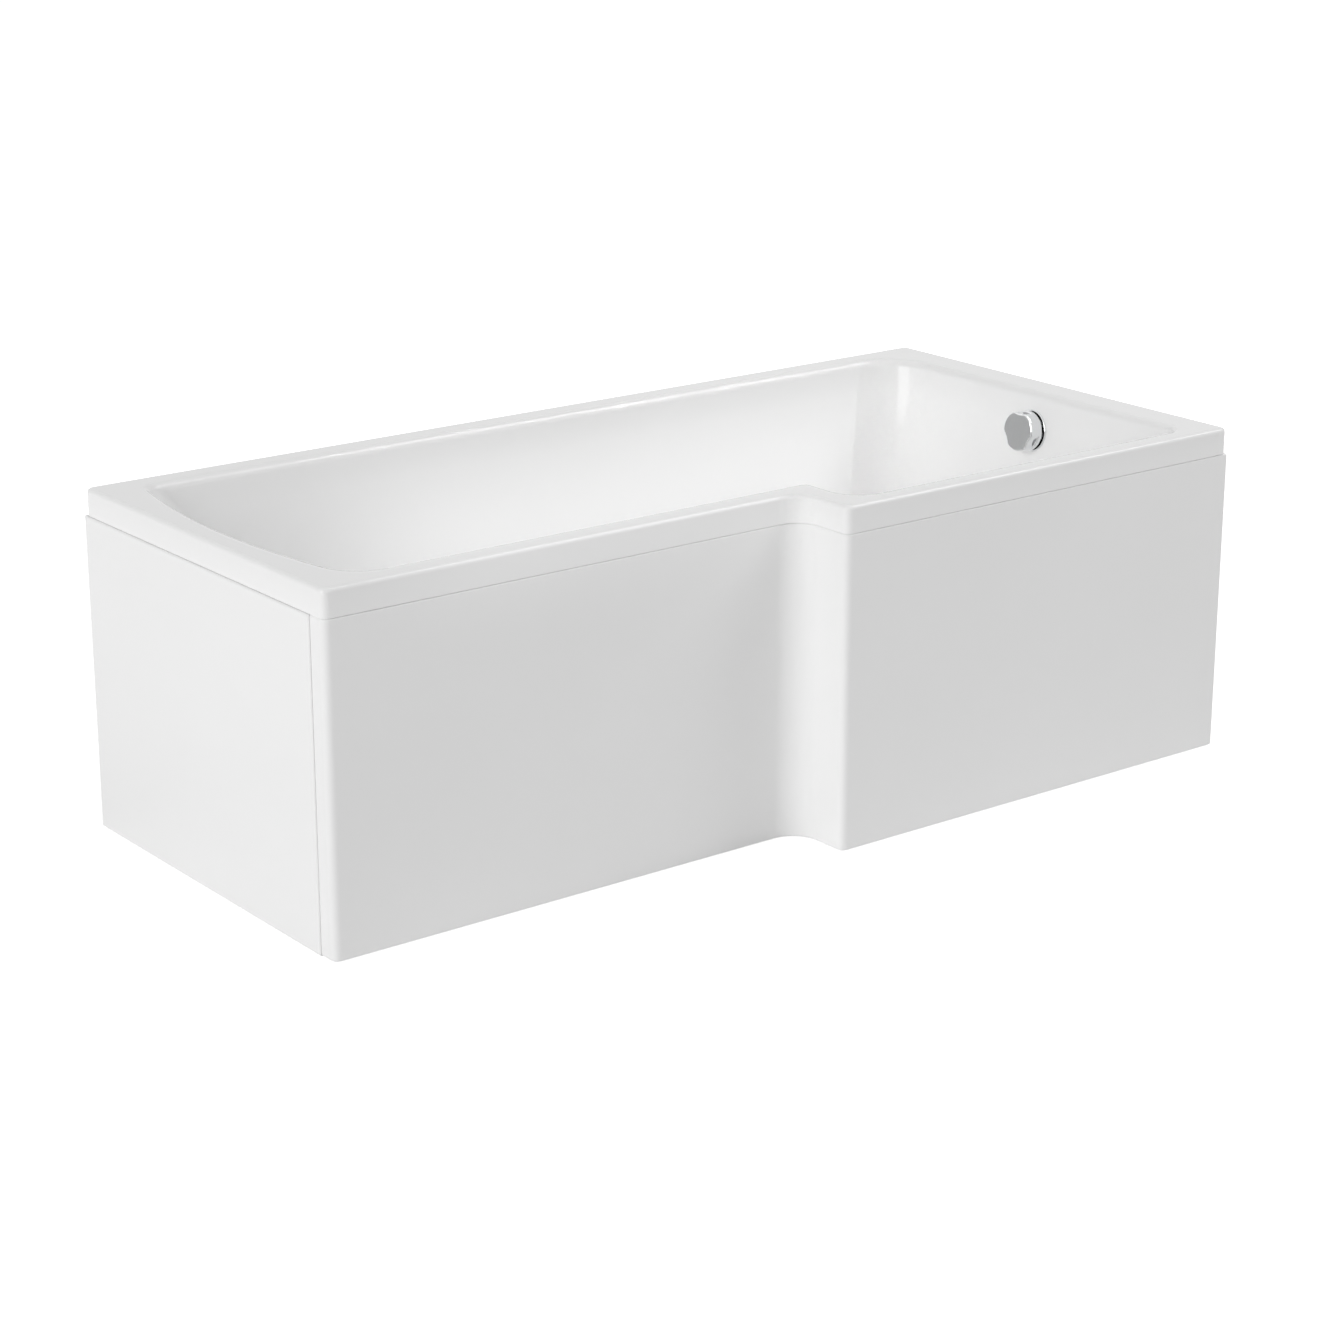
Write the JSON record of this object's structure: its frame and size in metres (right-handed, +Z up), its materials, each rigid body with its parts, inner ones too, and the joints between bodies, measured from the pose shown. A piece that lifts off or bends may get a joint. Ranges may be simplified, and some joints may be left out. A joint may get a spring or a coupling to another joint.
{
  "type": "l-shaped shower bath",
  "caption": "White acrylic bath with an L-shaped plan, a sloping backrest, a wide shower end, flat panels, an overflow knob that lifts the plug, and adjustable feet.",
  "frame": {"origin": "on the floor under the middle of the rim's outline", "axes": "+X towards the wide shower end with the waste, +Y towards the wall behind, +Z up"},
  "size_m": [1.703, 0.808, 0.5615],
  "materials": {
    "acrylic_white": "high gloss white acrylic",
    "panel_white": "high gloss white acrylic",
    "glass_fibre": "rough sprayed glass fibre",
    "timber": "sawn softwood",
    "chipboard": "chipboard",
    "galvanised_steel": "galvanised",
    "fixing_steel": "zinc plated",
    "black_plastic": "satin black",
    "grey_plastic": "satin grey",
    "white_plastic": "satin white polypropylene",
    "rubber_black": "black rubber",
    "chrome": "polished chrome",
    "brass": "plain brass"
  },
  "bodies": {
    "bath": {"baseboard": "chipboard", "bath_shell": "acrylic_white", "cable_clips": "black_plastic", "cable_sheath": "grey_plastic", "centre_foot_plate": "galvanised_steel", "end_panel": "panel_white", "foot_adjusting_nuts": "fixing_steel", "foot_lock_nuts": "fixing_steel", "front_panel": "panel_white", "glass_fibre_backing": "glass_fibre", "leg_channel_left": "galvanised_steel", "leg_channel_right": "galvanised_steel", "leg_screws": "fixing_steel", "overflow_elbow": "white_plastic", "overflow_flange": "chrome", "overflow_gasket": "rubber_black", "overflow_pipe": "white_plastic", "panel_batten_end": "timber", "panel_batten_narrow": "timber", "panel_batten_wide": "timber", "panel_clip_screws": "fixing_steel", "panel_clips": "grey_plastic", "rim_batten_back": "timber", "rim_batten_left": "timber", "rim_batten_narrow": "timber", "rim_batten_right": "timber", "rim_batten_step": "timber", "rim_batten_wide": "timber", "wall_bracket_left": "galvanised_steel", "wall_bracket_right": "galvanised_steel", "wall_bracket_screws": "fixing_steel", "waste_body": "white_plastic", "waste_flange": "chrome", "waste_gasket": "rubber_black"},
    "knob": {"overflow_knob": "chrome", "knob_spindle": "brass", "cable_drum": "brass"},
    "plug": {"waste_plug": "chrome", "plug_seal": "rubber_black", "lift_pin": "brass"},
    "foot_1": {"foot_stud_1": "fixing_steel", "foot_pad_1": "black_plastic"},
    "foot_2": {"foot_stud_2": "fixing_steel", "foot_pad_2": "black_plastic"},
    "foot_3": {"foot_stud_3": "fixing_steel", "foot_pad_3": "black_plastic"},
    "foot_4": {"foot_stud_4": "fixing_steel", "foot_pad_4": "black_plastic"},
    "foot_5": {"foot_stud_5": "fixing_steel", "foot_pad_5": "black_plastic"}
  },
  "joints": [
    {"name": "knob_turn", "type": "hinge", "parent": "bath", "child": "knob", "pos_m": [0.77128, -0.018, 0.494], "axis": [-0.9951, 0, 0.0991], "range_deg": [0, 90]},
    {"name": "plug_lift", "type": "slide", "parent": "bath", "child": "plug", "axis": [0, 0, 1], "range_m": [0, 0.012]},
    {"name": "foot_1_height", "type": "slide", "parent": "bath", "child": "foot_1", "axis": [0, 0, 1], "range_m": [0, 0.02]},
    {"name": "foot_2_height", "type": "slide", "parent": "bath", "child": "foot_2", "axis": [0, 0, 1], "range_m": [0, 0.02]},
    {"name": "foot_3_height", "type": "slide", "parent": "bath", "child": "foot_3", "axis": [0, 0, 1], "range_m": [0, 0.02]},
    {"name": "foot_4_height", "type": "slide", "parent": "bath", "child": "foot_4", "axis": [0, 0, 1], "range_m": [0, 0.02]},
    {"name": "foot_5_height", "type": "slide", "parent": "bath", "child": "foot_5", "axis": [0, 0, 1], "range_m": [0, 0.02]}
  ],
  "couplings": [
    {"joint": "plug_lift", "follows": "knob_turn", "m_per_rad": 0.0076394}
  ]
}
